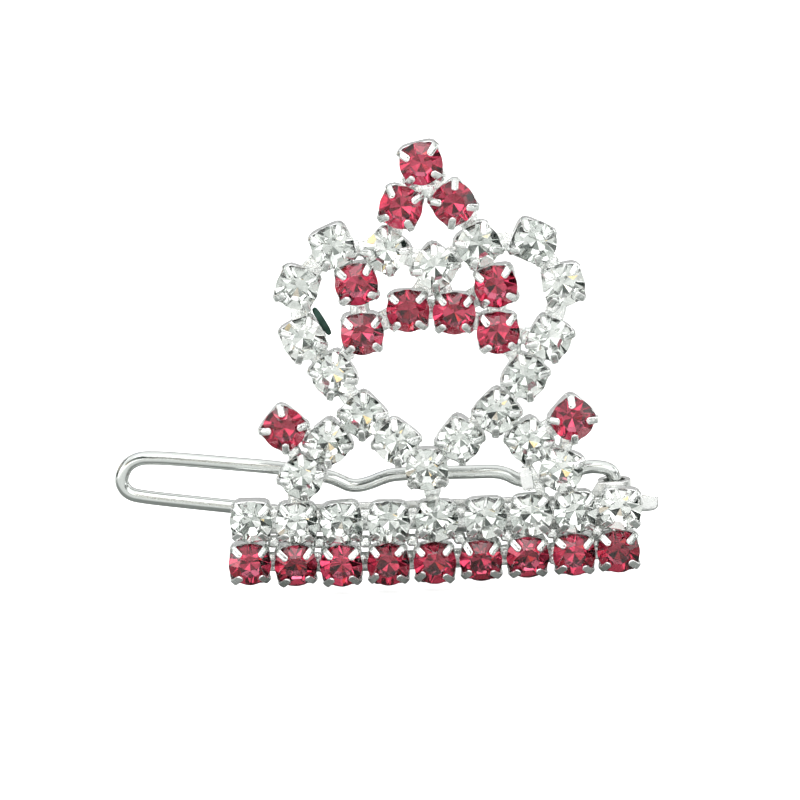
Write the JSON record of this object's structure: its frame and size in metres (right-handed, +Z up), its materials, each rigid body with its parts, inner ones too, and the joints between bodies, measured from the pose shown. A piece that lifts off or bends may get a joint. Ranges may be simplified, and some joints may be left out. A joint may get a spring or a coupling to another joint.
{
  "type": "rhinestone hair clip",
  "caption": "Crown-shaped hair clip of claw-set pink and clear rhinestones on a flat base strip, with a sprung wire loop that hinges open behind it.",
  "frame": {"origin": "middle of the gap that grips the hair, between the base strip's back face and the wire loop, level with the middle of the strip", "axes": "+X to the right of the face along the rails, towards the hinge; +Y backwards, away from the stones' tables and towards the hair; +Z up to the crown's peak"},
  "size_m": [0.0419, 0.0053, 0.0346],
  "materials": {
    "silver_plate": "bright silver plating on stamped brass cups, claws and solder, with fine dents",
    "rose_stone": "foil-backed rose-pink glass chaton, polished facets",
    "clear_stone": "foil-backed clear crystal chaton, polished facets",
    "nickel_strip": "nickel-plated stamped steel strip, satin",
    "spring_wire": "drawn spring-steel wire, satin with fine lengthwise lines"
  },
  "bodies": {
    "ornament": {"lower_rail_settings": "silver_plate", "upper_rail_settings": "silver_plate", "heart_settings": "silver_plate", "peak_settings": "silver_plate", "bow_settings": "silver_plate", "left_scroll_settings": "silver_plate", "right_scroll_settings": "silver_plate", "lower_rail_stone_1": "rose_stone", "lower_rail_stone_2": "rose_stone", "lower_rail_stone_3": "rose_stone", "lower_rail_stone_4": "rose_stone", "lower_rail_stone_5": "rose_stone", "lower_rail_stone_6": "rose_stone", "lower_rail_stone_7": "rose_stone", "lower_rail_stone_8": "rose_stone", "lower_rail_stone_9": "rose_stone", "peak_stone_1": "rose_stone", "peak_stone_2": "rose_stone", "peak_stone_3": "rose_stone", "bow_stone_1": "rose_stone", "bow_stone_2": "rose_stone", "bow_stone_3": "rose_stone", "bow_stone_4": "rose_stone", "bow_stone_5": "rose_stone", "bow_stone_6": "rose_stone", "left_scroll_tip_stone": "rose_stone", "right_scroll_tip_stone": "rose_stone", "upper_rail_stone_1": "clear_stone", "upper_rail_stone_2": "clear_stone", "upper_rail_stone_3": "clear_stone", "upper_rail_stone_4": "clear_stone", "upper_rail_stone_5": "clear_stone", "upper_rail_stone_6": "clear_stone", "upper_rail_stone_7": "clear_stone", "upper_rail_stone_8": "clear_stone", "upper_rail_stone_9": "clear_stone", "heart_stone_1": "clear_stone", "heart_stone_2": "clear_stone", "heart_stone_3": "clear_stone", "heart_stone_4": "clear_stone", "heart_stone_5": "clear_stone", "heart_stone_6": "clear_stone", "heart_stone_7": "clear_stone", "heart_stone_8": "clear_stone", "heart_stone_9": "clear_stone", "heart_stone_10": "clear_stone", "heart_stone_11": "clear_stone", "heart_stone_12": "clear_stone", "heart_stone_13": "clear_stone", "heart_stone_14": "clear_stone", "heart_stone_15": "clear_stone", "heart_stone_16": "clear_stone", "left_scroll_middle_stone": "clear_stone", "left_scroll_foot_stone": "clear_stone", "right_scroll_middle_stone": "clear_stone", "right_scroll_foot_stone": "clear_stone", "clip_base": "nickel_strip"},
    "spring_loop": {"wire_loop": "spring_wire"}
  },
  "joints": [
    {"name": "loop_hinge", "type": "hinge", "parent": "ornament", "child": "spring_loop", "pos_m": [0.01427, 0.00069, 0], "axis": [0, 0, -1], "range_deg": [0, 80]}
  ]
}
